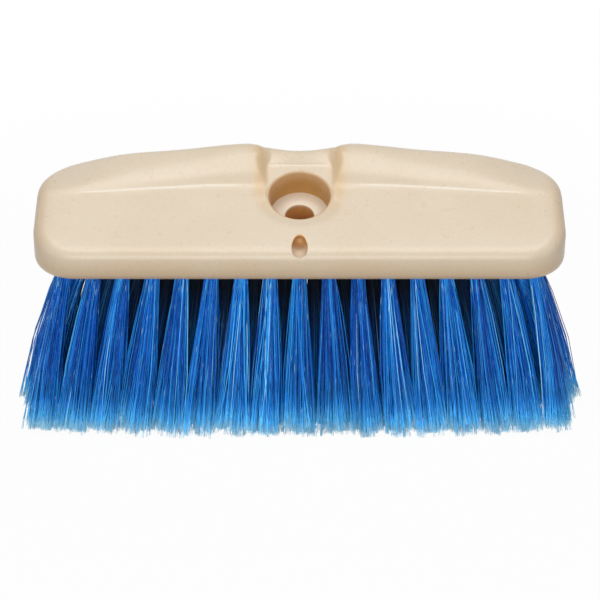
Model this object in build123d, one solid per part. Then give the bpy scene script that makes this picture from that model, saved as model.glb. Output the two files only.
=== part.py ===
from build123d import *
import os
from math import atan, copysign, cos, hypot, radians, sin, tan

os.makedirs("parts", exist_ok=True)

# The brush stands on its bristles. X runs along the head, Y from front to rear, and Z up.
# The origin is on the ground under the middle of the head. Sizes are in millimetres, angles in degrees.

# Head block
block_length = 254.0
block_width = 62.0
plan_corner_radius = 21.0
bristle_trim = 81.0
front_wall_height = 15.7
front_slope = 27.5
top_edge_radius = 7.0
underside_edge_radius = 8.0

# Ridge behind the crease, given at stations from the middle of the head to its end
ridge_rise = 19.0
ridge_rear_slope = 8.0
station_shares = (0, 0.165, 0.354, 0.543, 0.732, 0.843, 0.921, 1.0)
ridge_rise_shares = (1.0, 0.947, 0.829, 0.727, 0.588, 0.4, 0.3, 0.22)
crease_setback_shares = (0.613, 0.613, 0.605, 0.581, 0.552, 0.542, 0.54, 0.54)
crease_slope_shares = (2.45, 2.45, 2.4, 2.25, 2.0, 1.6, 1.25, 1.0)
ridge_lift_share = 0.5
ridge_pull_share = 0.42
front_point_shares = (0, 0.25, 0.5, 0.75, 0.9, 0.97)
ridge_point_shares = (0.03, 0.1, 0.25, 0.5, 0.75, 1)

# Where an edge is looked at to tell which it is, and how near it must be
edge_point_shares = (0, 0.3, 0.7, 1)
middle_share = 0.5
near = 0.002

# Handle notch: a shallow scoop round the socket, and a channel from it over the rear edge
scoop_radius = 20.5
scoop_sink = 0.8
scoop_setback = 1.9
channel_length = 11.8
channel_rim_depth = 7.6
channel_rim_radius = 34.0
channel_rim_rounding = 3.0
rim_rounding_limit_share = 0.05

# Handle socket, the water port on its axis, and the lock screw's hole
socket_setback = 33.1
socket_radius = 14.6
socket_length = 15.7
socket_rim_radius = 1.5
port_radius = 7.0
lock_hole_radius = 3.75
lock_hole_height = 17.2
lock_hole_depth = 15.0

# Tufts. The outer rows' tufts have a node each, and an inner row's tufts share one.
rows = ("front", "second", "middle", "fourth", "rear")
rows_with_single_tufts = ("front", "second", "rear")
tufts_in_long_row = 17
tuft_end_margin = 15.0
tuft_side_margin = 10.0
tuft_hole_radius = 3.25
tuft_hole_depth = 8.0
least_wall = 1.0
tip_overhang = 8.4
outer_row_tip_inset = 6.9
lean_spread_share = 0.7
side_lean = 6.0
plug_clearance = 0.15
strand_root_width = 1.8
strand_tip_width = 2.4
strand_root_offset = 2.0
strand_tip_offset = 5.0
strand_grip = 1.5
strand_overlength = 0.5

# Anchor plates
anchor_length = 5.4
anchor_height = 2.2
anchor_thickness = 0.5

# Cuts run on by this much past the faces that they open
overrun = 3.0

# Places that follow from the sizes above
half_length = block_length / 2
half_width = block_width / 2
tip_half_span = half_length + tip_overhang
head_height = front_wall_height + block_width + ridge_rise
rise_per_setback = tan(radians(front_slope))


def on_head(x, setback, height):
    """A point of the head: along it, back from its front wall, and up from its underside."""
    return Vector(x, setback - half_width, bristle_trim + height)


def slope_height(setback):
    """Height above the underside of the front slope, this far back from the front wall."""
    return front_wall_height + setback * rise_per_setback


def along_slope(angle):
    """Unit vector to the rear that rises at this angle."""
    return Vector(0, cos(radians(angle)), sin(radians(angle)))


# The socket's axis is square to the front slope. Its mouth is the floor of the scoop.
socket_axis = Vector(0, -sin(radians(front_slope)), cos(radians(front_slope)))
socket_mouth = Plane(
    origin=on_head(0, socket_setback, slope_height(socket_setback)) - socket_axis * scoop_sink,
    x_dir=(1, 0, 0),
    z_dir=socket_axis,
)


def plan_prism():
    """The head's plan, a rounded rectangle, stood up from the underside."""
    plan = Plane.XY.offset(bristle_trim) * RectangleRounded(block_length, block_width, plan_corner_radius)
    return extrude(plan, head_height)


def head_section(i, side):
    """The head cut across at one station: the front slope up to the crease, then the ridge behind it."""
    x = side * station_shares[i] * (half_length + overrun)
    rear = block_width + overrun
    crease_setback = crease_setback_shares[i] * block_width
    crease = on_head(x, crease_setback, slope_height(crease_setback))
    crown = on_head(x, rear, slope_height(crease_setback) + ridge_rise_shares[i] * ridge_rise)
    front_foot = on_head(x, -overrun, -overrun)
    front_top = on_head(x, -overrun, slope_height(-overrun))
    rear_foot = on_head(x, rear, -overrun)
    start_slope = front_slope * crease_slope_shares[i]
    lift = (crown.Z - crease.Z) * ridge_lift_share
    start_pull = crease + along_slope(start_slope) * (lift / sin(radians(start_slope)))
    end_pull = crown - along_slope(ridge_rear_slope) * ((crown - crease).length * ridge_pull_share)
    slope = Edge.make_line(front_top, crease)
    ridge = Edge.make_bezier(crease, start_pull, end_pull, crown)
    points = [slope.position_at(share) for share in front_point_shares]
    points += [ridge.position_at(share) for share in ridge_point_shares]
    top = Edge.make_spline(points, tangents=[along_slope(front_slope), along_slope(ridge_rear_slope)])
    return Wire([
        Edge.make_line(front_foot, front_top),
        top,
        Edge.make_line(crown, rear_foot),
        Edge.make_line(rear_foot, front_foot),
    ])


def on_outline(point):
    """True for a point on the head's upright walls."""
    past_x = abs(point.X) - (half_length - plan_corner_radius)
    past_y = abs(point.Y) - (half_width - plan_corner_radius)
    reach = hypot(max(past_x, 0), max(past_y, 0)) + min(max(past_x, past_y), 0)
    return abs(reach - plan_corner_radius) < near


def is_top_rim(edge):
    """True for an edge that runs round the head's walls, above the front wall."""
    high = edge.bounding_box().min.Z > bristle_trim + front_wall_height / 2
    return high and all(on_outline(edge.position_at(share)) for share in edge_point_shares)


def make_blank():
    """The head without its notch and holes, with its outer edges rounded."""
    last = len(station_shares) - 1
    sections = [head_section(i, -1) for i in range(last, 0, -1)]
    sections += [head_section(i, 1) for i in range(last + 1)]
    blank = (Solid.make_loft(sections) & plan_prism()).solid()
    blank = blank.fillet(top_edge_radius, blank.edges().filter_by(is_top_rim))
    underside = blank.faces().sort_by(Axis.Z)[0]
    return blank.fillet(underside_edge_radius, underside.edges())


def make_scoop():
    """Room over the socket's mouth: round in front, and straight back to the notch's crease."""
    mouth = socket_mouth
    round_front = Pos(0, scoop_setback) * Circle(scoop_radius)
    straight_back = Pos(0, scoop_setback + block_width / 2) * Rectangle(2 * scoop_radius, block_width)
    room = extrude(mouth * (round_front + straight_back), head_height)
    in_front = on_head(0, -channel_length, 0)
    keep = Pos(in_front) * Box(block_length, 2 * block_width, 4 * head_height)
    return room & keep


def make_channel():
    """Room behind the notch's crease: its floor is flat at the crease and hollow at the rear edge."""
    rear = block_width + overrun
    crease_setback = block_width - channel_length
    crease_height = slope_height(crease_setback) - scoop_sink / cos(radians(front_slope))
    crown_height = slope_height(crease_setback_shares[0] * block_width) + ridge_rise_shares[0] * ridge_rise
    rise = (crown_height - channel_rim_depth - crease_height) / channel_length
    rim_height = crease_height + rise * (channel_length + overrun)
    sag = channel_rim_radius - (channel_rim_radius**2 - scoop_radius**2) ** 0.5
    left = on_head(-scoop_radius, rear, rim_height + sag)
    right = on_head(scoop_radius, rear, rim_height + sag)
    hollow = Edge.make_three_point_arc(left, on_head(0, rear, rim_height), right)
    flat = Edge.make_line(
        on_head(-scoop_radius, crease_setback, crease_height),
        on_head(scoop_radius, crease_setback, crease_height),
    )
    return Solid.make_loft([room_over(flat), room_over(hollow)], ruled=True)


def room_over(floor):
    """The outline of the room over a floor line, up past the top of the head."""
    left, right = floor.position_at(0), floor.position_at(1)
    high = Vector(0, 0, 2 * head_height)
    return Wire([
        floor,
        Edge.make_line(right, right + high),
        Edge.make_line(right + high, left + high),
        Edge.make_line(left + high, left),
    ])


def make_socket():
    """Room for the handle's end, down from the scoop along the socket's axis."""
    room = Cylinder(socket_radius, socket_length + overrun, align=(Align.CENTER, Align.CENTER, Align.MIN))
    return (socket_mouth * Pos(0, 0, -socket_length) * room).solid()


def make_port():
    """Room for the water, from the socket's floor out through the underside."""
    drop = slope_height(socket_setback) / cos(radians(front_slope)) + port_radius
    return (socket_mouth * Pos(0, 0, -drop / 2) * Cylinder(port_radius, drop)).solid()


def make_lock_hole():
    """Room for the handle's lock screw, level and straight back from the front."""
    mouth = Plane(origin=on_head(0, -overrun, lock_hole_height), z_dir=(0, 1, 0))
    return extrude(mouth * Circle(lock_hole_radius), lock_hole_depth + overrun).solid()


def is_channel_rim(edge):
    """True for the edge where the channel's hollow floor runs out over the head's rear edge."""
    middle = edge.position_at(middle_share)
    at_rear = middle.Y > half_width - top_edge_radius and middle.Z > bristle_trim + front_wall_height
    return at_rear and abs(middle.X) < near and edge.length < block_width


def is_socket_rim(edge):
    """True for the round edge of the socket's mouth."""
    at_mouth = abs((edge.position_at(0) - socket_mouth.origin).dot(socket_axis)) < near
    return at_mouth and edge.geom_type == GeomType.CIRCLE and abs(edge.radius - socket_radius) < near


def make_head(seats):
    """The head block, with its notch, socket, port and lock hole, and a hole for each tuft."""
    head = (make_blank() - make_scoop() - make_channel()).solid()
    rounding = min(channel_rim_rounding, rim_rounding_limit_share * block_width)
    head = head.fillet(rounding, head.edges().filter_by(is_channel_rim))
    head = (head - make_socket()).solid()
    head = head.fillet(socket_rim_radius, head.edges().filter_by(is_socket_rim))
    return (head - [make_port(), make_lock_hole()] - [seat.place(make_hole()) for seat in seats]).solid()


def make_hole():
    """Room for a tuft's root, which opens at the middle of its mouth, with Z out of the head."""
    length = tuft_hole_depth + overrun
    return (Pos(0, 0, overrun - length / 2) * Cylinder(tuft_hole_radius, length)).solid()


def make_anchor():
    """The plate across the hole's end that holds the folded filaments."""
    middle = anchor_height / 2 - tuft_hole_depth
    return (Pos(0, 0, middle) * Box(anchor_length, anchor_thickness, anchor_height)).solid()


def make_strand(side_x, side_y):
    """One four-sided strand, from inside the bound root to its tip, drawn apart from the others."""
    root = Pos(side_x * strand_root_offset, side_y * strand_root_offset, -strand_grip)
    tip = Pos(side_x * strand_tip_offset, side_y * strand_tip_offset, bristle_trim + strand_overlength)
    root_end = root * Rectangle(strand_root_width, strand_root_width)
    tip_end = tip * Rectangle(strand_tip_width, strand_tip_width)
    return Solid.make_loft([root_end.face().outer_wire(), tip_end.face().outer_wire()], ruled=True)


def make_tuft():
    """A tuft: the filaments' bound root, slotted for its anchor, and the strands that fan out of it."""
    root_radius = tuft_hole_radius - plug_clearance
    root = (Pos(0, 0, -tuft_hole_depth / 2) * Cylinder(root_radius, tuft_hole_depth)).solid()
    sides = ((0, 0), (1, 0), (-1, 0), (0, 1), (0, -1))
    return (root.fuse(*[make_strand(*side) for side in sides]) - make_anchor()).solid()


class Seat:
    """One tuft's place: where its hole opens in the underside, and how it leans outwards."""

    def __init__(self, x, y, row_end):
        outward_x, outward_y = x / row_end, y / (half_width - tuft_side_margin)
        end_tip = tip_half_span - outer_row_tip_inset * outward_y**2
        end_lean = atan((end_tip - row_end) / bristle_trim)
        lean_x = copysign(end_lean * abs(outward_x) ** lean_spread_share, x)
        down = Vector(tan(lean_x), tan(radians(side_lean * outward_y)), -1).normalized()
        across = Vector(0, 1, 0).cross(down).normalized()
        self.x = x
        self.plane = Plane(origin=(x, y, bristle_trim), x_dir=across, z_dir=down)

    def place(self, shape):
        return self.plane.location * shape

    def keeps_clear(self, cavities):
        """True where the hole leaves a wall between itself and the head's other openings."""
        return abs(self.x) > 2 * scoop_radius or self.place(make_hole()).distance_to(cavities) >= least_wall

    def trim(self, tuft):
        """The tuft in its place, with what would reach below the ground cut off flat."""
        return split(self.place(tuft), bisect_by=Plane.XY, keep=Keep.TOP).solid()


def make_row(row, cavities):
    """Seats of one row, left to right. Every other row is staggered and one tuft shorter."""
    pitch = (block_length - 2 * tuft_end_margin) / (tufts_in_long_row - 1)
    row_pitch = (block_width - 2 * tuft_side_margin) / (len(rows) - 1)
    count = tufts_in_long_row - row % 2
    y = (row - (len(rows) - 1) / 2) * row_pitch
    row_end = (count - 1) / 2 * pitch
    seats = [Seat(i * pitch - row_end, y, row_end) for i in range(count)]
    return [seat for seat in seats if seat.keeps_clear(cavities)]


def save(solids, node):
    """Writes a node of one solid, or of several separate ones."""
    shape = solids[0] if len(solids) == 1 else Compound(solids)
    shape.label = node
    export_step(shape, f"parts/{node}.step")


def main():
    cavities = Compound([make_socket(), make_port(), make_lock_hole()])
    seats = {name: make_row(row, cavities) for row, name in enumerate(rows)}
    save([make_head([seat for row in seats.values() for seat in row])], "head_block")
    tuft, anchor = make_tuft(), make_anchor()
    for name, row in seats.items():
        tufts = [seat.trim(tuft) for seat in row]
        if name in rows_with_single_tufts:
            for number, solid in enumerate(tufts, 1):
                save([solid], f"{name}_tuft_{number:02}")
        else:
            save(tufts, f"{name}_row_tufts")
        save([seat.place(anchor) for seat in row], f"{name}_row_anchors")
        print(f"{name} row: {len(row)} tufts")


main()
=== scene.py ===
"""Dresses the wash brush: a moulded head, and tufts of fine filaments with split tips, over the CAD frame."""

import logging
import math
from dataclasses import dataclass
from enum import Enum
from typing import Any, Union

import bpy
import numpy as np
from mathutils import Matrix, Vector


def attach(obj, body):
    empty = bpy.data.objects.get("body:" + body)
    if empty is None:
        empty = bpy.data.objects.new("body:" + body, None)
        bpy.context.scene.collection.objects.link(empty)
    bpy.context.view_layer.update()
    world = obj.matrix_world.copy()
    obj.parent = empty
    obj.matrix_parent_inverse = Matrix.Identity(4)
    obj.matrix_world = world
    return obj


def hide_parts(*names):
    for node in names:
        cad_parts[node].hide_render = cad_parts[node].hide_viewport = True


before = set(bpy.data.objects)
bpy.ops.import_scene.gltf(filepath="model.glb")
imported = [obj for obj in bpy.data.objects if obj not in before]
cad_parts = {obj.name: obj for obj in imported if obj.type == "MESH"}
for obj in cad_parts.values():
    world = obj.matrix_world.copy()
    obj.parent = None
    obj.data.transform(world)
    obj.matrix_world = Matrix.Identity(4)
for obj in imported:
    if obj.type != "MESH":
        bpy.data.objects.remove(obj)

log = logging.getLogger("wash_brush")
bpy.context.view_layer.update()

Colour = tuple[float, float, float]
Number = Union[float, "Value"]


def srgb(red: float, green: float, blue: float) -> Colour:
    """Turns a colour of 0 to 255, as a screen shows it, into linear light.

    Args:
        red: the red part.
        green: the green part.
        blue: the blue part.

    Returns:
        The three linear parts, from 0 to 1.
    """
    def linear(part: float) -> float:
        """Returns one part in linear light."""
        share = part / 255
        return share / 12.92 if share <= 0.04045 else ((share + 0.055) / 1.055) ** 2.4

    return linear(red), linear(green), linear(blue)


class Value:
    """A shader socket that takes part in Python sums, each of which adds a Math node."""

    def __init__(self, graph: "Graph", socket: bpy.types.NodeSocket) -> None:
        """Keeps the socket and the graph that it belongs to."""
        self.graph = graph
        self.socket = socket

    def __add__(self, other: Number) -> "Value":
        """Returns self + other."""
        return self.graph.math("ADD", self, other)

    def __radd__(self, other: float) -> "Value":
        """Returns other + self."""
        return self.graph.math("ADD", other, self)

    def __sub__(self, other: Number) -> "Value":
        """Returns self - other."""
        return self.graph.math("SUBTRACT", self, other)

    def __rsub__(self, other: float) -> "Value":
        """Returns other - self."""
        return self.graph.math("SUBTRACT", other, self)

    def __mul__(self, other: Number) -> "Value":
        """Returns self * other."""
        return self.graph.math("MULTIPLY", self, other)

    def __pow__(self, other: Number) -> "Value":
        """Returns self ** other."""
        return self.graph.math("POWER", self, other)


class Graph:
    """The nodes of a material or a world, which all come from one method."""

    def __init__(self, owner: bpy.types.ID) -> None:
        """Empties the owner's nodes, to fill them anew."""
        self.owner = owner
        owner.use_nodes = True
        self.tree = owner.node_tree
        self.tree.nodes.clear()

    @classmethod
    def of_material(cls, name: str) -> "Graph":
        """Returns the nodes of a new material."""
        return cls(bpy.data.materials.new(name))

    def node(self, kind: str, settings: dict[str, Any] | None = None,
             inputs: dict[str | int, Any] | None = None) -> bpy.types.Node:
        """Adds one node.

        Args:
            kind: the node's type.
            settings: its settings, which are set first; "stops" are a ramp's places and colours.
            inputs: values or links of its sockets.

        Returns:
            The node.
        """
        node = self.tree.nodes.new(kind)
        for name, value in (settings or {}).items():
            if name == "stops":
                self.set_stops(node.color_ramp, value)
            else:
                setattr(node, name, value)
        for name, value in (inputs or {}).items():
            if isinstance(value, Value):
                self.tree.links.new(value.socket, node.inputs[name])
            elif isinstance(value, bpy.types.NodeSocket):
                self.tree.links.new(value, node.inputs[name])
            else:
                node.inputs[name].default_value = value
        return node

    @staticmethod
    def set_stops(ramp: bpy.types.ColorRamp, stops: list[tuple[float, Colour]]) -> None:
        """Gives a ramp its stops, each a place and a linear colour."""
        while len(ramp.elements) < len(stops):
            ramp.elements.new(1.0)
        for element, (place, colour) in zip(ramp.elements, stops):
            element.position = place
            element.color = (*colour, 1.0)

    def math(self, operation: str, *terms: Number) -> Value:
        """Returns the value of a Math node on these terms."""
        node = self.node("ShaderNodeMath", {"operation": operation}, dict(enumerate(terms)))
        return Value(self, node.outputs[0])

    def ramp(self, factor: Number, stops: list[tuple[float, Colour]]) -> bpy.types.NodeSocket:
        """Returns the colour that a ramp gives for a value."""
        return self.node("ShaderNodeValToRGB", {"stops": stops}, {"Fac": factor}).outputs["Color"]

    def span(self, value: Value, low: float, high: float) -> Value:
        """Returns 0 where the value is at low, 1 where it is at high, with a soft run between."""
        settings = {"interpolation_type": "SMOOTHSTEP"}
        inputs = {"Value": value, "From Min": low, "From Max": high}
        return Value(self, self.node("ShaderNodeMapRange", settings, inputs).outputs["Result"])

    def mix(self, factor: Number, first: Any, second: Any, blend: str = "MIX") -> bpy.types.NodeSocket:
        """Mixes two colours.

        Args:
            factor: how much of the second colour.
            first: a linear colour or a socket.
            second: a linear colour or a socket.
            blend: the way to mix them.

        Returns:
            The mixed colour's socket.
        """
        inputs = {0: factor, 6: self.full(first), 7: self.full(second)}
        settings = {"data_type": "RGBA", "blend_type": blend}
        return self.node("ShaderNodeMix", settings, inputs).outputs[2]

    @staticmethod
    def full(colour: Any) -> Any:
        """Returns a plain colour with its alpha, and a socket as it is."""
        return (*colour, 1.0) if isinstance(colour, tuple) else colour

    def place(self) -> bpy.types.NodeSocket:
        """Returns the object's own coordinates, in metres."""
        return self.node("ShaderNodeTexCoord").outputs["Object"]

    def axes(self, vector: bpy.types.NodeSocket) -> tuple[Value, Value, Value]:
        """Returns the three parts of a vector."""
        node = self.node("ShaderNodeSeparateXYZ", inputs={"Vector": vector})
        return tuple(Value(self, node.outputs[i]) for i in range(3))

    def noise(self, vector: Any, scale: float, detail: float = 2.0, roughness: float = 0.5) -> Value:
        """Returns a noise value about 0.5, at a scale in waves per metre."""
        inputs = {"Vector": vector, "Scale": scale, "Detail": detail, "Roughness": roughness}
        return Value(self, self.node("ShaderNodeTexNoise", inputs=inputs).outputs["Fac"])

    def stretched(self, vector: Any, scale: Colour) -> bpy.types.NodeSocket:
        """Returns coordinates multiplied part by part, which draws a pattern out along an axis."""
        inputs = {0: vector, 1: scale}
        return self.node("ShaderNodeVectorMath", {"operation": "MULTIPLY"}, inputs).outputs[0]

    def attribute(self, name: str) -> Value:
        """Returns a number that the mesh carries."""
        node = self.node("ShaderNodeAttribute", {"attribute_type": "GEOMETRY", "attribute_name": name})
        return Value(self, node.outputs["Fac"])

    def bump(self, height: Value, strength: float, distance: float) -> bpy.types.NodeSocket:
        """Returns the normal that a height gives, with its depth in metres."""
        inputs = {"Height": height, "Strength": strength, "Distance": distance}
        return self.node("ShaderNodeBump", inputs=inputs).outputs["Normal"]

    def finish(self, **inputs: Any) -> bpy.types.Material:
        """Closes the material with one Principled shader.

        Args:
            inputs: its sockets, with _ for each space in a name.

        Returns:
            The material.
        """
        named = {name.replace("_", " "): value for name, value in inputs.items()}
        shader = self.node("ShaderNodeBsdfPrincipled", inputs=named)
        self.node("ShaderNodeOutputMaterial", inputs={"Surface": shader.outputs["BSDF"]})
        return self.owner


@dataclass(frozen=True)
class Openings:
    """The handle socket, the water port on its axis, and the lock screw's hole."""

    mouth: tuple[float, float] = (0.002469, 0.113221)
    slope: float = 27.5
    radius: float = 0.0146
    rim: float = 0.0015
    depth: float = 0.0157
    port_radius: float = 0.007
    port_end: float = 0.05
    lock_radius: float = 0.00375
    lock_height: float = 0.0982
    lock_mouth: float = -0.031
    lock_end: float = -0.016
    margin: float = 0.00001

    def on_axis(self, y: Any, z: Any) -> tuple[Any, Any]:
        """Returns how deep below the socket's mouth a place is, and how far up the slope from its axis."""
        lean = math.radians(self.slope)
        back, up = y - self.mouth[0], z - self.mouth[1]
        return back * math.sin(lean) - up * math.cos(lean), back * math.cos(lean) + up * math.sin(lean)

    def hold(self, points: np.ndarray) -> np.ndarray:
        """Returns True for each of the points that is in an opening, or on its walls."""
        x, y, z = points.T
        depth, along = self.on_axis(y, z)
        reach = np.hypot(x, along)
        socket = (depth > self.margin) & (depth < self.depth + self.margin)
        socket &= reach < self.radius + self.rim - self.margin
        port = (depth > self.depth - self.margin) & (reach < self.port_radius + self.margin)
        lock = (np.hypot(x, z - self.lock_height) < self.lock_radius + self.margin) & (y < self.lock_end + self.margin)
        return socket | port | lock


OPENINGS = Openings()


@dataclass(frozen=True)
class HeadPlastic:
    """Beige moulded plastic, satin, with a faint mottle, a fine grain and a slightly uneven skin; painted shade
    darkens the socket, port and lock hole, the notch walls and the low walls and ends, and painted light marks the
    creases and the socket floor.
    """

    body: Colour = srgb(229, 213, 190)
    warm: Colour = srgb(224, 206, 179)
    grain: Colour = srgb(160, 136, 108)
    # Tint of the warm painted shade inside the socket, its port and the lock hole.
    recess_shade: Colour = (0.97, 0.62, 0.245)
    # Tint of the darker painted shade deep in the socket and at the lock hole's upper end.
    deep: Colour = (0.78, 0.8, 0.72)
    # Tint of the painted shade on the walls of the notch.
    notch_shade: Colour = (0.97, 0.845, 0.66)
    # Tint of the painted shade low on the walls and at the ends.
    shade: Colour = (0.86, 0.74, 0.58)
    # Pale colour of the painted light on the socket floor and the painted highlight along the creases.
    light: Colour = srgb(250, 242, 228)
    roughness: float = 0.3
    wall: float = 0.0006
    underside: float = 0.081
    half_length: float = 0.127
    # Half width of the painted highlight line along the creases.
    crease_width: float = 0.0006
    cloud_scale: float = 26.0
    grain_scale: float = 600.0
    skin_scale: float = 260.0
    skin_depth: float = 0.00008
    notch_highlight_span: tuple[float, float] = (0.0158, 0.0115)
    ridge_highlight_start: tuple[float, float] = (0.0225, 0.036)
    ridge_highlight_end: tuple[float, float] = (0.112, 0.098)

    def make(self) -> bpy.types.Material:
        """Returns the material."""
        g = Graph.of_material("head_plastic")
        place = g.place()
        cloud = g.noise(place, self.cloud_scale, 3.0)
        colour = g.mix(g.span(cloud, 0.35, 0.7) * 0.6, self.body, self.warm)
        grain = g.noise(place, self.grain_scale, 1.0)
        colour = g.mix(g.span(grain, 0.3, 0.75) * 0.05, colour, self.grain)
        # Painted shade: darker and warmer low on the walls and at the ends.
        colour = g.mix(self.painted_wall_shade(g, place), colour, g.mix(1.0, colour, self.shade, "MULTIPLY"))
        # Painted shade on the walls of the notch.
        colour = g.mix(g.attribute("notch_shade"), colour, g.mix(1.0, colour, self.notch_shade, "MULTIPLY"))
        # Painted shade in the socket, its port and the lock hole: a warm tint, then a darker one further in.
        warm, deep = self.painted_recess_shades(g, place)
        colour = g.mix(warm, colour, g.mix(1.0, colour, self.recess_shade, "MULTIPLY"))
        colour = g.mix(deep, colour, g.mix(1.0, colour, self.deep, "MULTIPLY"))
        # Painted light on the socket's floor.
        colour = g.mix(self.painted_floor_light(g, place) * 0.6, colour, self.light)
        # Painted highlight: a thin pale line along the creases.
        line = g.span(g.math("ABSOLUTE", g.attribute("crease")), self.crease_width, 0.0)
        colour = g.mix(line * self.highlight_run(g, place) * 0.6, colour, self.light)
        skin = g.noise(place, self.skin_scale, 3.0)
        rough = self.roughness + (skin - 0.5) * 0.16
        normal = g.bump(skin * 0.7 + grain * 0.3, 0.12, self.skin_depth)
        return g.finish(Base_Color=colour, Roughness=rough, Normal=normal)

    def painted_wall_shade(self, g: Graph, place: bpy.types.NodeSocket) -> Value:
        """Returns 1 low on the walls and at the ends, where painted shade makes the plastic darker and warmer."""
        x, _, z = g.axes(place)
        low = g.span(z, self.underside + 0.0175, self.underside + 0.0005)
        ends = g.span(g.math("ABSOLUTE", x), self.half_length - 0.012, self.half_length + 0.001)
        return g.math("MAXIMUM", low, ends * 0.6)

    def highlight_run(self, g: Graph, place: bpy.types.NodeSocket) -> Value:
        """Returns how strongly the painted highlight along each crease line shows: each fades out at its ends."""
        side = g.math("ABSOLUTE", g.axes(place)[0])
        notch = g.span(side, *self.notch_highlight_span) * 0.8
        ridge = g.span(side, *self.ridge_highlight_start) * g.span(side, *self.ridge_highlight_end)
        return g.math("MAXIMUM", notch, ridge)

    def painted_floor_light(self, g: Graph, place: bpy.types.NodeSocket) -> Value:
        """Returns 1 on the floor of the socket, round its port, where painted light brightens it."""
        x, y, z = g.axes(place)
        depth, along = OPENINGS.on_axis(y, z)
        reach = (x * x + along * along) ** 0.5
        ring = g.span(reach, OPENINGS.port_radius, OPENINGS.port_radius + self.wall)
        ring *= g.span(reach, OPENINGS.radius + self.wall, OPENINGS.radius)
        ring *= g.span(depth, OPENINGS.depth + 2 * self.wall, OPENINGS.depth + self.wall)
        return ring * g.span(depth, OPENINGS.depth - self.wall, OPENINGS.depth)

    def painted_recess_shades(self, g: Graph, place: bpy.types.NodeSocket) -> tuple[Value, Value]:
        """Returns two masks of painted shade: a warm one on the walls of the socket, its port and the lock hole, and a
        darker one deep in the socket and at the lock hole's upper end.
        """
        x, y, z = g.axes(place)
        depth, along = OPENINGS.on_axis(y, z)
        reach = (x * x + along * along) ** 0.5
        radius, floor, port_radius = OPENINGS.radius, OPENINGS.depth, OPENINGS.port_radius
        socket = g.span(reach, radius - 2 * self.wall, radius - self.wall)
        socket *= g.span(reach, radius + 3 * self.wall, radius + self.wall)
        socket *= g.span(depth, floor, floor - self.wall)
        # Darker painted shade deeper down the socket.
        deep = socket * g.span(depth, 0.0, floor * 0.7)
        socket *= g.span(depth, -self.wall, 2 * self.wall) * 0.6 + g.span(depth, 0.0, floor * 0.7) * 0.4
        port = g.span(reach, port_radius + self.wall, port_radius)
        port *= g.span(depth, floor + self.wall, floor + 4 * self.wall)
        high = z - OPENINGS.lock_height
        lock = g.span((x * x + high * high) ** 0.5, OPENINGS.lock_radius + self.wall, OPENINGS.lock_radius)
        end = g.span(y, OPENINGS.lock_end - 6 * self.wall, OPENINGS.lock_end - 2 * self.wall)
        lock *= g.span(y, OPENINGS.lock_end + 2 * self.wall, OPENINGS.lock_end + self.wall)
        upper = g.span(high, -OPENINGS.lock_radius * 0.7, OPENINGS.lock_radius * 0.5)
        # The lock hole's upper end takes the darker painted shade too.
        deep = g.math("MAXIMUM", deep, lock * upper * end)
        lock *= g.math("MAXIMUM", upper, end * 0.8)
        return g.math("MAXIMUM", g.math("MAXIMUM", socket, port * 0.85), lock), deep


@dataclass(frozen=True)
class BristleFibre:
    """Drawn blue filament, clearer towards the split tip, with its own tone each; painted shade darkens the roots in
    the inner rows, painted light brightens the tips, and painted glints run along the strands.
    """

    deep: Colour = srgb(0, 84, 188)
    body: Colour = srgb(2, 116, 236)
    clear: Colour = srgb(58, 188, 255)
    # Colour of the painted glints, and of the palest tone.
    pale: Colour = srgb(170, 230, 255)
    low: Colour = srgb(42, 162, 242)
    split: Colour = srgb(98, 206, 252)
    tip: Colour = srgb(190, 240, 255)
    roughness: float = 0.26

    def make(self) -> bpy.types.Material:
        """Returns the material."""
        g = Graph.of_material("bristle_fibre")
        along, tone, inner = g.attribute("along"), g.attribute("tone"), g.attribute("inner")
        colour = g.ramp(tone, [(0.0, self.deep), (0.42, self.body), (0.78, self.clear), (1.0, self.pale)])
        # Painted glints: short pale streaks along the strands, a little more often near the head.
        strand = g.node("ShaderNodeCombineXYZ", inputs={"X": tone * 900.0, "Y": along * 11.0}).outputs["Vector"]
        glint_streak = g.noise(strand, 1.0, 1.0)
        near = g.span(along, 0.4, 0.1)
        colour = g.mix(g.span(glint_streak + near * 0.05, 0.66, 0.78) * 0.7, colour, self.pale)
        ends = g.ramp(along, [(0.0, self.low), (0.82, self.low), (0.93, self.split), (1.0, self.tip)])
        colour = g.mix(g.span(along, 0.58, 0.95) * 0.9, colour, ends)
        # Painted shade at the roots of the inner rows' tufts.
        painted_root_shade = inner * (1.0 - g.span(along, 0.14, 0.92))
        # Painted light: brighter towards the tips, and a little near the head.
        painted_light_share = g.span(along, 0.75, 0.96) * 0.44 + near * 0.08
        # Brightness: the filament's own tone and streaks, with the painted light and the painted root shade.
        shade = (tone * 0.9 + 0.62 + painted_light_share) * (0.7 + glint_streak * 0.6) * (1.0 - painted_root_shade * 0.98)
        colour = g.mix(1.0, colour, self.node_grey(g, shade), "MULTIPLY")
        rough = self.roughness + (glint_streak - 0.5) * 0.2 + painted_root_shade * 0.6
        return g.finish(Base_Color=colour, Roughness=rough, IOR=1.42)

    @staticmethod
    def node_grey(g: Graph, shade: Value) -> bpy.types.NodeSocket:
        """Returns a grey of this strength, as a colour."""
        inputs = {"Red": shade, "Green": shade, "Blue": shade}
        return g.node("ShaderNodeCombineColor", inputs=inputs).outputs["Color"]


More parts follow.
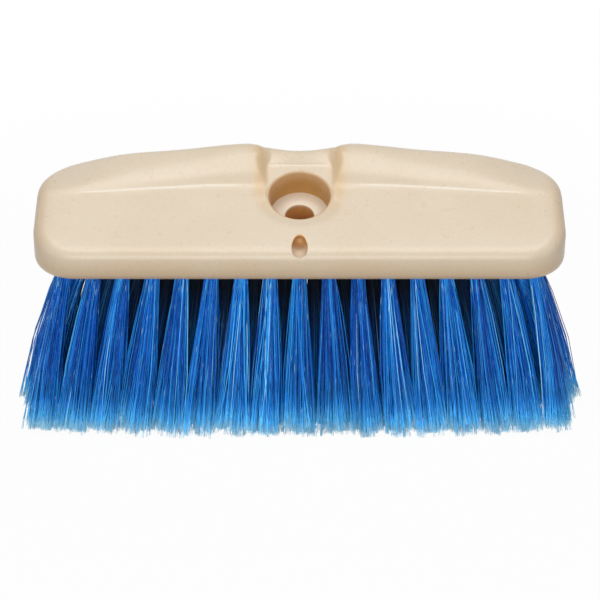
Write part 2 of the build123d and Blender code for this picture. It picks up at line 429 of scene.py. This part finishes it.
@dataclass(frozen=True)
class AnchorSteel:
    """Galvanised flat wire, drawn along its length."""

    steel: Colour = srgb(168, 170, 172)
    dull: Colour = srgb(132, 134, 138)

    def make(self) -> bpy.types.Material:
        """Returns the material."""
        g = Graph.of_material("anchor_steel")
        drawn = g.noise(g.stretched(g.place(), (0.1, 1.0, 1.0)), 2400.0, 3.0)
        colour = g.mix(g.span(drawn, 0.35, 0.7), self.steel, self.dull)
        rough = 0.32 + drawn * 0.25
        normal = g.bump(drawn, 0.3, 0.00005)
        return g.finish(Base_Color=colour, Roughness=rough, Metallic=1.0, Normal=normal)


class Finish(Enum):
    """The finishes of the brush, each named as its material slot in the record."""

    HEAD = "head_plastic"
    BRISTLE = "bristle"
    ANCHOR = "anchor_metal"


RECIPES = {Finish.HEAD: HeadPlastic(), Finish.BRISTLE: BristleFibre(), Finish.ANCHOR: AnchorSteel()}


class Palette:
    """Makes each finish once and puts it on pieces."""

    def __init__(self) -> None:
        """Starts with no finish made."""
        self.made: dict[Finish, bpy.types.Material] = {}

    def dress(self, piece: bpy.types.Object, finish: Finish) -> None:
        """Gives the piece one finish, in place of what it has.

        Args:
            piece: the mesh object.
            finish: which finish it takes.
        """
        if finish not in self.made:
            self.made[finish] = RECIPES[finish].make()
        piece.data.materials.clear()
        piece.data.materials.append(self.made[finish])


def deselect() -> None:
    """Leaves edit mode, and selects nothing."""
    if bpy.context.object and bpy.context.object.mode != "OBJECT":
        bpy.ops.object.mode_set(mode="OBJECT")
    bpy.ops.object.select_all(action="DESELECT")


def take(piece: bpy.types.Object) -> None:
    """Makes the piece the only one selected, and the active one."""
    deselect()
    piece.select_set(True)
    bpy.context.view_layer.objects.active = piece


def seat_piece(piece: bpy.types.Object, finish: Finish, *nodes: str) -> None:
    """Hands a finished piece over: it rides on the brush and stands for its CAD nodes.

    Args:
        piece: the finished piece, with its place in its mesh.
        finish: the finish; not used.
        nodes: the CAD nodes that it replaces.
    """
    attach(piece, "root")
    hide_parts(*nodes)
    log.info("%s: %d faces, for %s", piece.name, len(piece.data.polygons), ", ".join(nodes))


def turned(profile: list[tuple[float, float]], sides: int = 96) -> bpy.types.Object:
    """Models a turned solid round the Z axis.

    Args:
        profile: the height and radius of each ring, from one end to the other.
        sides: how many sides it has.

    Returns:
        The solid's object.
    """
    deselect()
    (height, radius), *rest = profile
    bpy.ops.mesh.primitive_circle_add(vertices=sides, radius=radius, fill_type="NGON", location=(0, 0, height))
    solid = bpy.context.object
    bpy.ops.object.mode_set(mode="EDIT")
    bpy.ops.mesh.select_all(action="SELECT")
    for next_height, next_radius in rest:
        bpy.ops.mesh.extrude_region_move(TRANSFORM_OT_translate={"value": (0, 0, next_height - height)})
        share = next_radius / radius
        bpy.ops.transform.resize(value=(share, share, 1), center_override=(0, 0, next_height))
        height, radius = next_height, next_radius
    bpy.ops.mesh.select_all(action="SELECT")
    bpy.ops.mesh.normals_make_consistent(inside=False)
    bpy.ops.object.mode_set(mode="OBJECT")
    bpy.ops.object.transform_apply(location=True, rotation=True, scale=True)
    return solid


@dataclass
class Head:
    """The moulded block, with the soft edges of a moulding. Sizes are in metres, and angles in degrees."""

    node: str = "head_block"
    merge_distance: float = 0.00002
    voxel: float = 0.0008
    skin_rounds: int = 5
    smooth_share: float = 0.5
    underside: float = 0.081
    front: float = -0.031
    wall_height: float = 0.0157
    hole_radius: float = 0.00325
    tips: tuple[float, ...] = (0.0, 0.02145, 0.04602, 0.07059, 0.09516, 0.10959, 0.11973, 0.13)
    creases: tuple[float, ...] = (0.007006, 0.007006, 0.00651, 0.005022, 0.003224, 0.002604, 0.00248, 0.00248)
    crease_span: tuple[float, float] = (0.0245, 0.104)
    crease_width: float = 0.00045
    crease_press: float = 0.0002
    notch_bead: float = 0.00014
    crease_reach: float = 0.0026
    scoop_radius: float = 0.0205
    scoop_setback: float = 0.0019
    notch_crease: float = 0.0192
    notch_rear: float = 0.031
    notch_sag: float = 0.0069
    foot_start: float = -0.004
    pull_end: float = 0.0215
    foot_width: float = 0.0006
    foot_pull: float = 0.0036
    foot_reach: float = 0.0066
    rear_start: float = 0.0225
    rear_pull: float = 0.0022
    rear_reach: float = 0.006
    rear_rounds: int = 40
    wall_reach: float = 0.0075
    wall_rounds: int = 14
    edge_angle: float = 38.0

    def build(self, seats: list["Seat"]) -> bpy.types.Object:
        """Models the block on its CAD node's shape.

        Args:
            seats: the seats of the tufts.

        Returns:
            The block's object.
        """
        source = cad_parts[self.node]
        deselect()
        piece = bpy.data.objects.new("moulded_head", source.data.copy())
        bpy.context.scene.collection.objects.link(piece)
        take(piece)
        bpy.ops.object.mode_set(mode="EDIT")
        bpy.ops.mesh.select_all(action="SELECT")
        bpy.ops.mesh.remove_doubles(threshold=self.merge_distance)
        bpy.ops.object.mode_set(mode="OBJECT")
        self.close_openings(piece, seats)
        remesh = piece.modifiers.new("moulding", "REMESH")
        remesh.mode = "VOXEL"
        remesh.voxel_size = self.voxel
        bpy.ops.object.modifier_apply(modifier=remesh.name)
        self.smooth(piece, np.ones(len(piece.data.vertices), bool), self.skin_rounds)
        self.soften_notch(piece)
        self.press_creases(piece)
        self.cut(piece, self.socket_room())
        self.cut(piece, self.lock_room())
        self.mark(piece)
        take(piece)
        bpy.ops.object.shade_smooth_by_angle(angle=math.radians(self.edge_angle))
        return piece

    @staticmethod
    def read(items: Any, name: str) -> np.ndarray:
        """Reads a place or direction of every vertex or face."""
        values = np.zeros(len(items) * 3)
        items.foreach_get(name, values)
        return values.reshape(-1, 3)

    @staticmethod
    def select(piece: bpy.types.Object, faces: np.ndarray | None = None, points: np.ndarray | None = None) -> None:
        """Selects faces or points of a piece, and goes into edit mode.

        Args:
            piece: the piece.
            faces: True for each face to select.
            points: True for each point to select.
        """
        mesh = piece.data
        mesh.polygons.foreach_set("select", np.zeros(len(mesh.polygons), bool) if faces is None else faces)
        mesh.edges.foreach_set("select", np.zeros(len(mesh.edges), bool))
        mesh.vertices.foreach_set("select", np.zeros(len(mesh.vertices), bool) if points is None else points)
        bpy.ops.object.mode_set(mode="EDIT")
        bpy.ops.mesh.select_mode(type="VERT" if faces is None else "FACE")

    def close_openings(self, piece: bpy.types.Object, seats: list["Seat"]) -> None:
        """Takes the openings' walls away and closes their mouths, so that the skin can be smoothed across them.

        Args:
            piece: the block.
            seats: the seats of the tufts.
        """
        centres = self.read(piece.data.polygons, "center")
        inside = OPENINGS.hold(centres)
        for seat in seats:
            away = centres - np.array(seat.mouth)
            depth = -away @ np.array(seat.down)
            off_axis = np.linalg.norm(away + depth[:, None] * np.array(seat.down), axis=1)
            hole = (off_axis < self.hole_radius + OPENINGS.margin) & (centres[:, 2] > self.underside + OPENINGS.margin)
            inside |= hole & (depth < self.wall_height)
        self.select(piece, faces=inside)
        bpy.ops.mesh.delete(type="FACE")
        bpy.ops.mesh.select_mode(type="EDGE")
        bpy.ops.mesh.select_non_manifold(extend=False, use_wire=False, use_multi_face=False,
                                         use_non_contiguous=False, use_verts=False)
        bpy.ops.mesh.fill_holes(sides=0)
        bpy.ops.object.mode_set(mode="OBJECT")

    def smooth(self, piece: bpy.types.Object, chosen: np.ndarray, rounds: int) -> None:
        """Evens out the chosen points of the piece.

        Args:
            piece: the block.
            chosen: True for each point that may move.
            rounds: how many times it is done.
        """
        self.select(piece, points=chosen)
        bpy.ops.mesh.vertices_smooth(factor=self.smooth_share, repeat=rounds)
        bpy.ops.object.mode_set(mode="OBJECT")

    def press(self, piece: bpy.types.Object, chosen: np.ndarray, move: Vector, reach: float, falloff: str) -> None:
        """Moves the chosen points, and less and less those round them.

        Args:
            piece: the block.
            chosen: True for each point that moves by the whole amount.
            move: how far, and which way.
            reach: how far off a point still moves a little.
            falloff: the kind of run between.
        """
        self.select(piece, points=chosen)
        bpy.ops.transform.translate(value=move, use_proportional_edit=True, proportional_edit_falloff=falloff,
                                    proportional_size=reach)
        bpy.ops.object.mode_set(mode="OBJECT")

    def off_wall(self, points: np.ndarray) -> tuple[np.ndarray, ...]:
        """Measures where points are in the notch.

        Args:
            points: the points.

        Returns:
            How far each is outside the notch's wall, how high over the socket's mouth, and how far up the slope.
        """
        x, y, z = points.T
        depth, along = OPENINGS.on_axis(y, z)
        return np.hypot(x, np.minimum(along - self.scoop_setback, 0)) - self.scoop_radius, -depth, along

    def soften_notch(self, piece: bpy.types.Object) -> None:
        """Draws the foot of each notch wall inwards, so that the wall leans, and rounds its edges."""
        for side in (-1, 1):
            points = self.read(piece.data.vertices, "co")
            outside, high, along = self.off_wall(points)
            run = np.clip((points[:, 1] - self.notch_crease) / (self.notch_rear - self.notch_crease), 0, 1)
            foot = (np.abs(outside) < self.foot_width) & (along > 0) & (points[:, 0] * side > 0)
            foot &= (high < 0.001 + run * self.notch_sag) & (high > -0.0015) & (points[:, 1] < self.pull_end)
            foot &= points[:, 1] > self.foot_start
            self.press(piece, foot, Vector((-side * self.foot_pull, 0, 0)), self.foot_reach, "SMOOTH")
            rear = (np.abs(outside) < self.foot_width) & (points[:, 1] > self.rear_start) & (points[:, 0] * side > 0)
            self.press(piece, rear & (high > 0.002), Vector((-side * self.rear_pull, 0, 0)), self.rear_reach, "SMOOTH")
        points = self.read(piece.data.vertices, "co")
        outside, high, along = self.off_wall(points)
        near = (np.abs(outside + 0.001) < self.wall_reach) & (high > -0.002) & (points[:, 1] > -0.02)
        self.smooth(piece, near & (points[:, 2] > self.underside + self.wall_height), self.wall_rounds)
        rear = (np.abs(outside + 0.0035) < self.wall_reach) & (high > 0.0005) & (points[:, 1] > self.notch_crease)
        self.smooth(piece, rear, self.rear_rounds)

    def press_creases(self, piece: bpy.types.Object) -> None:
        """Sharpens the crease between the front slope and the ridge, and the one across the notch."""
        rise = math.tan(math.radians(OPENINGS.slope))
        x, y, z = self.read(piece.data.vertices, "co").T
        line = np.interp(np.abs(x), self.tips, self.creases)
        level = self.underside + self.wall_height + (line - self.front) * rise
        start, end = self.crease_span
        chosen = (np.abs(y - line) < self.crease_width) & (np.abs(z - level) < 0.002)
        chosen &= (np.abs(x) > start) & (np.abs(x) < end)
        self.press(piece, chosen, Vector((0, 0, -self.crease_press)), self.crease_reach, "SHARP")
        x, y, z = self.read(piece.data.vertices, "co").T
        depth, _ = OPENINGS.on_axis(y, z)
        across = (np.abs(y - self.notch_crease) < self.crease_width) & (np.abs(depth) < 0.002) & (np.abs(x) < 0.0145)
        self.press(piece, across, Vector((0, 0, self.notch_bead)), self.crease_reach * 0.6, "SHARP")

    def mark(self, piece: bpy.types.Object) -> None:
        """Marks the points near the creases, for a fine painted highlight line, and those on the walls of the notch,
        for painted shade.
        """
        points = self.read(piece.data.vertices, "co")
        x, y, z = points.T
        side = np.abs(x)
        start, end = self.crease_span
        above = z > self.underside + self.wall_height
        gap = y - np.interp(side, self.tips, self.creases)
        gap = np.where(above & (side > start - 0.001) & (side < end + 0.008), gap, 1.0)
        depth, _ = OPENINGS.on_axis(y, z)
        gap = np.where((side < 0.0162) & (np.abs(depth) < 0.0025), y - self.notch_crease + 0.0002, gap)
        outside, high, _ = self.off_wall(points)
        # Weight of the painted shade on the notch walls: strongest just inside each wall, fading towards the front.
        notch_shade = np.exp(-((outside + 0.0018) / 0.0036) ** 2) * np.clip((y + 0.014) / 0.02, 0, 1)
        notch_shade = np.where(above & (high > -0.002), notch_shade, 0.0)
        for name, values in (("crease", gap), ("notch_shade", notch_shade)):
            layer = piece.data.attributes.new(name, "FLOAT", "POINT")
            layer.data.foreach_set("value", values.astype(np.float32))

    def socket_room(self) -> bpy.types.Object:
        """Models the room of the socket and its port, with the mouth's rounded rim."""
        r, rim, port = OPENINGS.radius, OPENINGS.rim, OPENINGS.port_radius
        floor = OPENINGS.depth
        rings = [(0.003, r + 2.2 * rim), (0.0001, r + 1.05 * rim), (-0.00008, r + 0.8 * rim)]
        rings += [(-0.0003, r + 0.45 * rim), (-0.0007, r + 0.17 * rim), (-rim, r), (-floor, r)]
        rings += [(-floor - 0.00005, port + 0.0006), (-floor - 0.0003, port + 0.00015)]
        rings += [(-floor - 0.0008, port), (-OPENINGS.port_end, port)]
        room = turned(rings)
        room.rotation_euler = (math.radians(OPENINGS.slope), 0, 0)
        room.location = (0, *OPENINGS.mouth)
        bpy.ops.object.transform_apply(location=True, rotation=True, scale=True)
        return room

    def lock_room(self) -> bpy.types.Object:
        """Models the room of the lock screw's hole."""
        radius, end = OPENINGS.lock_radius, OPENINGS.lock_mouth - OPENINGS.lock_end
        turns = [math.radians(turn) for turn in range(0, 90, 14)]
        dome = [(end + radius * (1 - math.sin(turn)), radius * math.cos(turn)) for turn in turns]
        room = turned([(0.004, radius), (0.0, radius), *dome], 64)
        room.rotation_euler = (math.radians(90), 0, 0)
        room.location = (0, OPENINGS.lock_mouth, OPENINGS.lock_height)
        bpy.ops.object.transform_apply(location=True, rotation=True, scale=True)
        return room

    def cut(self, piece: bpy.types.Object, room: bpy.types.Object) -> None:
        """Cuts a room out of the piece.

        Args:
            piece: the block.
            room: the solid to cut away, which is used up.
        """
        take(piece)
        cut = piece.modifiers.new("opening", "BOOLEAN")
        cut.operation, cut.solver, cut.object = "DIFFERENCE", "EXACT", room
        bpy.ops.object.modifier_apply(modifier=cut.name)
        bpy.data.objects.remove(room)


@dataclass
class Filament:
    """One drawn filament, modelled along +Z from 0 to 1, with a tip that is split in finer hairs."""

    rings: tuple[tuple[float, float], ...] = ((0.0, 1.0), (0.3, 1.0), (0.62, 1.0), (0.88, 0.95), (0.94, 0.6))
    hair_start: float = 0.9
    hair_radius: float = 0.55
    hair_end_share: float = 0.8
    hair_spread: float = 1.7
    hairs: int = 3

    def model(self) -> bpy.types.Object:
        """Models the filament with a radius of 1, so that copies can be drawn to any thickness.

        Returns:
            The filament's object.
        """
        deselect()
        low = self.rings[0]
        bpy.ops.mesh.primitive_circle_add(vertices=3, radius=low[1], location=(0, 0, low[0]))
        piece = bpy.context.object
        piece.name = "filament"
        bpy.ops.object.mode_set(mode="EDIT")
        bpy.ops.mesh.select_all(action="SELECT")
        for (last_place, last_width), (place, width) in zip(self.rings, self.rings[1:]):
            bpy.ops.mesh.extrude_edges_move(TRANSFORM_OT_translate={"value": (0, 0, place - last_place)})
            share = width / last_width
            bpy.ops.transform.resize(value=(share, share, 1), center_override=(0, 0, place))
        bpy.ops.mesh.edge_face_add()
        bpy.ops.object.mode_set(mode="OBJECT")
        parts = [piece]
        for number in range(self.hairs):
            parts.append(self.hair(2 * math.pi * number / self.hairs))
        deselect()
        for part in parts:
            part.select_set(True)
        bpy.context.view_layer.objects.active = piece
        bpy.ops.object.join()
        bpy.ops.object.transform_apply(location=True, rotation=True, scale=True)
        return piece

    def hair(self, turn: float) -> bpy.types.Object:
        """Models one of the fine hairs that the tip is split in.

        Args:
            turn: which way it splays, as an angle.

        Returns:
            The hair's object.
        """
        deselect()
        side = Vector((math.cos(turn), math.sin(turn), 0))
        start = side * self.hair_radius + Vector((0, 0, self.hair_start))
        bpy.ops.mesh.primitive_circle_add(vertices=3, radius=self.hair_radius, location=start)
        hair = bpy.context.object
        bpy.ops.object.mode_set(mode="EDIT")
        bpy.ops.mesh.select_all(action="SELECT")
        reach = side * self.hair_spread + Vector((0, 0, 1 - self.hair_start))
        bpy.ops.mesh.extrude_edges_move(TRANSFORM_OT_translate={"value": reach})
        share = self.hair_end_share
        bpy.ops.transform.resize(value=(share, share, 1), center_override=start + reach)
        bpy.ops.mesh.edge_face_add()
        bpy.ops.object.mode_set(mode="OBJECT")
        return hair


@dataclass
class Row:
    """One row of tufts, with the seats that the handle's openings leave out."""

    name: str
    place: float
    count: int
    left_out: tuple[int, ...] = ()
    single: bool = True


@dataclass
class Seat:
    """Where a tuft leaves the head, and which way it leans."""

    mouth: Vector
    down: Vector
    across: Vector
    forward: Vector
    outward: float
    inner: float


@dataclass
class Brush:
    """All the tufts. Sizes are in metres, and angles in degrees."""

    trim: float = 0.081
    half_rows: float = 0.021
    pitch: float = 0.014
    tip_half_span: float = 0.1337
    outer_row_tip_inset: float = 0.0062
    end_bow: float = 0.0012
    side_limit: float = 0.0062
    end_limit: float = 0.0092
    lean_spread_share: float = 0.7
    side_lean: float = 6.0
    hole_radius: float = 0.00305
    root_depth: float = 0.0062
    filaments: int = 230
    fibre_radius: float = 0.00023
    tip_spread: tuple[float, float] = (2.75, 1.75)
    end_spread_loss: float = 0.2
    clump_pull: float = 0.4
    clumps: int = 20
    crossing_share: float = 0.12
    clump_cut: tuple[float, float] = (0.0024, 0.0018)
    end_cut: float = 0.0016
    own_clump_share: float = 0.8
    stray_share: float = 0.2
    stray_reach: float = 0.003
    usual_reach: float = 0.0013
    # Share of filaments given the palest tone, as painted glints.
    pale_share: float = 0.03
    seed: int = 4127

    def rows(self) -> list[Row]:
        """Returns the five rows, from front to rear."""
        return [
            Row("front", -1.0, 17),
            Row("second", -0.5, 16),
            Row("middle", 0.0, 17, single=False),
            Row("fourth", 0.5, 16, (7, 8), single=False),
            Row("rear", 1.0, 17, (8,)),
        ]

    def seats(self, row: Row) -> list[Seat]:
        """Works out the seats of a row, left to right.

        Args:
            row: the row.

        Returns:
            Its seats, without those that are left out.
        """
        seats = []
        row_end = (row.count - 1) / 2 * self.pitch
        end_tip = self.tip_half_span - self.outer_row_tip_inset * row.place ** 2
        end_lean = math.atan((end_tip - row_end) / self.trim)
        for number in range(row.count):
            if number in row.left_out:
                continue
            x = number * self.pitch - row_end
            outward = abs(x / row_end)
            lean = math.copysign(end_lean * outward ** self.lean_spread_share, x)
            tilt = math.radians(self.side_lean * row.place)
            down = Vector((math.tan(lean), math.tan(tilt), -1)).normalized()
            across = Vector((0, 1, 0)).cross(down).normalized()
            mouth = Vector((x, row.place * self.half_rows, self.trim))
            # Weight of the painted root shade: full in the inner rows, fading out towards their ends.
            inner = 0.0 if abs(row.place) == 1 else 1.0 - outward ** 9
            seats.append(Seat(mouth, down, across, down.cross(across), outward, inner))
        return seats

    def evened(self, places: np.ndarray) -> np.ndarray:
        """Spreads places in the round hole evenly over a square of its width, as the tips lie side by side."""
        share = np.clip(places / self.hole_radius, -1, 1)
        return (share * np.sqrt(1 - share ** 2) + np.arcsin(share)) * (2 / math.pi) * self.hole_radius

    def tuft_points(self, seat: Seat, shape: np.ndarray, chance: np.random.Generator) -> tuple[np.ndarray, ...]:
        """Lays the copies of the filament in one tuft.

        Args:
            seat: where the tuft is.
            shape: the filament's own points, along +Z from 0 to 1.
            chance: the source of the small differences between filaments.

        Returns:
            The points of every copy, how far along its filament each one is, and its filament's tone.
        """
        n = self.filaments
        turn = np.arange(n) * math.pi * (3 - math.sqrt(5))
        reach = np.sqrt((np.arange(n) + 0.5) / n) * (self.hole_radius - self.fibre_radius)
        root = np.stack([reach * np.cos(turn), reach * np.sin(turn)], 1)
        clump = chance.integers(0, self.clumps, n)
        centre_turn = chance.uniform(0, 2 * math.pi, self.clumps)
        centre_reach = np.sqrt(chance.uniform(0.02, 1.0, self.clumps)) * self.hole_radius
        centre = np.stack([centre_reach * np.cos(centre_turn), centre_reach * np.sin(centre_turn)], 1)
        near = np.argmin(np.linalg.norm(root[:, None] - centre[None], axis=2), axis=1)
        clump = np.where(chance.uniform(size=n) < self.own_clump_share, near, clump)
        drift = chance.normal(0, 0.0009, (self.clumps, 2))
        spread = np.array(self.tip_spread) * (1 - self.end_spread_loss * seat.outward ** 6)
        tip = self.evened(root) * (1 - self.clump_pull) + self.evened(centre)[clump] * self.clump_pull
        tip *= spread
        stray = np.where(chance.uniform(size=(n, 1)) < self.stray_share, self.stray_reach, self.usual_reach)
        tip += drift[clump] + chance.normal(0, 1, (n, 2)) * stray
        crossing = chance.uniform(size=n) < self.crossing_share
        tip[:, 0] = np.where(crossing, -0.8 * tip[:, 0], tip[:, 0])
        limit = np.array((self.end_limit, self.side_limit)) * chance.uniform(0.68, 1.0, self.clumps)[clump][:, None]
        tip = np.clip(tip, -limit, limit)
        bow = chance.normal(0, 0.0008, (n, 2)) + chance.normal(0, 0.0006, (self.clumps, 2))[clump]
        bow[:, 0] -= math.copysign(self.end_bow, seat.mouth.x) * seat.outward ** 6
        cut = chance.normal(*self.clump_cut, self.clumps)[clump] + np.abs(chance.normal(0, 0.00025, n))
        length = self.trim + 0.0004 - np.maximum(cut, 0.0) - self.end_cut * seat.outward ** 8
        spin = chance.uniform(0, 2 * math.pi, n)
        tone = chance.normal(0.44, 0.2, n) + chance.normal(0, 0.06, self.clumps)[clump]
        # A few filaments take the palest tone, as painted glints.
        pale = chance.uniform(size=n) < self.pale_share
        tone = np.where(pale & (reach < 0.8 * self.hole_radius), chance.uniform(0.9, 1.0, n), np.clip(tone, 0.0, 0.85))
        share = shape[:, 2]
        below = np.clip(share[None, :] * (length[:, None] + self.root_depth) - self.root_depth, 0, None)
        ease = (below / length[:, None]) ** 0.92
        side = root[:, None] + (tip - root)[:, None] * ease[..., None]
        side += bow[:, None] * np.sin(math.pi * np.clip(ease, 0, 1))[..., None]
        turn_x = shape[None, :, 0] * np.cos(spin)[:, None] - shape[None, :, 1] * np.sin(spin)[:, None]
        turn_y = shape[None, :, 0] * np.sin(spin)[:, None] + shape[None, :, 1] * np.cos(spin)[:, None]
        side += np.stack([turn_x, turn_y], 2) * self.fibre_radius
        depth = share[None, :] * (length[:, None] + self.root_depth) - self.root_depth
        across, forward, down = (np.array(axis) for axis in (seat.across, seat.forward, seat.down))
        points = side[..., :1] * across + side[..., 1:] * forward + depth[..., None] * down
        points = (points + np.array(seat.mouth)).reshape(-1, 3)
        points[:, 2] = np.maximum(points[:, 2], 0.00005)
        along = np.broadcast_to(share[None, :], depth.shape).reshape(-1)
        return points, along, np.repeat(tone, len(share))

    def make_piece(self, name: str, seats: list[Seat], filament: bpy.types.Object,
                   chance: np.random.Generator) -> bpy.types.Object:
        """Copies the filament into one or more tufts, as one piece with its own mesh.

        Args:
            name: the piece's name.
            seats: the seats of its tufts.
            filament: the modelled filament.
            chance: the source of the small differences between filaments.

        Returns:
            The piece.
        """
        shape = np.array([vertex.co for vertex in filament.data.vertices])
        corners = [tuple(face.vertices) for face in filament.data.polygons]
        laid = [self.tuft_points(seat, shape, chance) for seat in seats]
        points = np.concatenate([part[0] for part in laid])
        copies = len(points) // len(shape)
        faces = [tuple(corner + copy * len(shape) for corner in face) for copy in range(copies) for face in corners]
        mesh = bpy.data.meshes.new(name)
        mesh.from_pydata(points, [], faces)
        along, tone = (np.concatenate([part[index] for part in laid]) for index in (1, 2))
        inner = np.repeat([seat.inner for seat in seats], [len(part[0]) for part in laid])
        for attribute, values in (("along", along), ("tone", tone), ("inner", inner)):
            layer = mesh.attributes.new(attribute, "FLOAT", "POINT")
            layer.data.foreach_set("value", values.astype(np.float32))
        mesh.polygons.foreach_set("use_smooth", [True] * len(mesh.polygons))
        mesh.update()
        piece = bpy.data.objects.new(name, mesh)
        bpy.context.scene.collection.objects.link(piece)
        return piece

    def build(self, palette: Palette) -> None:
        """Makes every tuft and dresses it.

        Args:
            palette: the finishes.
        """
        filament = Filament().model()
        chance = np.random.default_rng(self.seed)
        for row in self.rows():
            seats = self.seats(row)
            if row.single:
                groups = [(f"{row.name}_tuft_{i:02}", [seat]) for i, seat in enumerate(seats, 1)]
            else:
                groups = [(f"{row.name}_row_tufts", seats)]
            for node, group in groups:
                piece = self.make_piece(f"{node}_fibres", group, filament, chance)
                palette.dress(piece, Finish.BRISTLE)
                seat_piece(piece, Finish.BRISTLE, node)
        bpy.data.objects.remove(filament)


@dataclass
class Anchors:
    """The flat steel plates that hold the folded tufts in their holes."""

    rows: tuple[str, ...] = ("front", "second", "middle", "fourth", "rear")

    def dress(self, palette: Palette) -> None:
        """Gives the plates their metal.

        Args:
            palette: the finishes.
        """
        for row in self.rows:
            node = f"{row}_row_anchors"
            palette.dress(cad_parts[node], Finish.ANCHOR)
            log.info("%s: carried over", node)


@dataclass
class Studio:
    """The camera, the lamps and the pale floor. Sizes are in metres."""

    target: tuple[float, float, float] = (0.0, 0.0, 0.060)
    elevation: float = 25.0
    distance: float = 0.9
    lens: float = 109.9
    shift: tuple[float, float] = (0.0007, -0.0046)
    pixels: int = 600
    floor_size: float = 6.0
    floor: Colour = (0.8, 0.8, 0.8)
    near_glow: float = 0.965
    far_glow: float = 0.998
    glow_reach: tuple[float, float] = (0.15, 0.6)
    world: float = 0.11
    fill: Colour = (1.0, 0.93, 0.85)
    overhead_power: float = 8.4
    front_power: float = 5.3

    def place_camera(self) -> None:
        """Puts the camera where the photograph was taken from."""
        rise = math.radians(self.elevation)
        target = Vector(self.target)
        eye = target + Vector((0, -math.cos(rise), math.sin(rise))) * self.distance
        camera = bpy.data.cameras.new("camera")
        camera.lens = self.lens
        camera.sensor_width = 36.0
        camera.shift_x, camera.shift_y = self.shift
        camera.clip_start = 0.01
        holder = bpy.data.objects.new("camera", camera)
        holder.location = eye
        holder.rotation_euler = (target - eye).to_track_quat("-Z", "Y").to_euler()
        bpy.context.scene.collection.objects.link(holder)
        bpy.context.scene.camera = holder

    def lamp(self, name: str, place: tuple[float, float, float], size: tuple[float, float], power: float) -> None:
        """Adds a soft lamp that points at the brush.

        Args:
            name: its name.
            place: where its middle is.
            size: its width and height.
            power: its power in watts.
        """
        light = bpy.data.lights.new(name, "AREA")
        light.shape = "RECTANGLE"
        light.size, light.size_y = size
        light.energy = power
        holder = bpy.data.objects.new(name, light)
        holder.location = place
        holder.rotation_euler = (Vector(self.target) - Vector(place)).to_track_quat("-Z", "Y").to_euler()
        bpy.context.scene.collection.objects.link(holder)

    def seen(self, g: Graph) -> Value:
        """Returns 1 for rays that show the background as such, and 0 for those that carry its light."""
        path = g.node("ShaderNodeLightPath")
        rays = [Value(g, path.outputs[f"Is {kind} Ray"]) for kind in ("Camera", "Glossy", "Transmission")]
        return g.math("MINIMUM", rays[0] + rays[1] + rays[2], 1.0)

    def lay_floor(self) -> None:
        """Lays the pale floor, which shows white and keeps the shadow."""
        deselect()
        bpy.ops.mesh.primitive_plane_add(size=self.floor_size, location=(0, 0, 0))
        floor = bpy.context.object
        floor.name = "floor"
        g = Graph.of_material("floor")
        grey = g.node("ShaderNodeBsdfDiffuse", inputs={"Color": (*self.floor, 1.0)})
        glow = g.node("ShaderNodeEmission", inputs={"Color": (1.0, 1.0, 1.0, 1.0), "Strength": 1.0})
        x, y, _ = g.axes(g.place())
        far = g.span((x * x + y * y) ** 0.5, *self.glow_reach)
        share = self.near_glow + far * (self.far_glow - self.near_glow)
        inputs = {0: self.seen(g) * share, 1: grey.outputs[0], 2: glow.outputs[0]}
        surface = g.node("ShaderNodeMixShader", inputs=inputs)
        g.node("ShaderNodeOutputMaterial", inputs={"Surface": surface.outputs[0]})
        floor.data.materials.append(g.owner)

    def light_world(self) -> None:
        """Fills the shadows evenly, and shows white behind the brush."""
        world = bpy.data.worlds.new("studio")
        g = Graph(world)
        seen = self.seen(g)
        strength = seen * (1.0 - self.world) + self.world
        colour = g.mix(seen, self.fill, (1.0, 1.0, 1.0))
        back = g.node("ShaderNodeBackground", inputs={"Color": colour, "Strength": strength})
        g.node("ShaderNodeOutputWorld", inputs={"Surface": back.outputs[0]})
        bpy.context.scene.world = world

    def build(self) -> None:
        """Sets up the whole studio."""
        self.place_camera()
        self.lay_floor()
        self.light_world()
        self.lamp("overhead", (0.0, -0.2, 1.1), (1.2, 0.8), self.overhead_power)
        self.lamp("front_fill", (-0.1, -1.2, 0.42), (0.9, 0.5), self.front_power)
        bpy.context.scene.view_settings.view_transform = "Standard"


def main() -> None:
    """Builds the brush's visible pieces in order, and the studio round them."""
    logging.basicConfig(level=logging.INFO, format="%(name)s: %(message)s")
    palette = Palette()
    Studio().build()
    head, brush = Head(), Brush()
    block = head.build([seat for row in brush.rows() for seat in brush.seats(row)])
    palette.dress(block, Finish.HEAD)
    seat_piece(block, Finish.HEAD, head.node)
    brush.build(palette)
    Anchors().dress(palette)


if __name__ == "__main__":
    main()
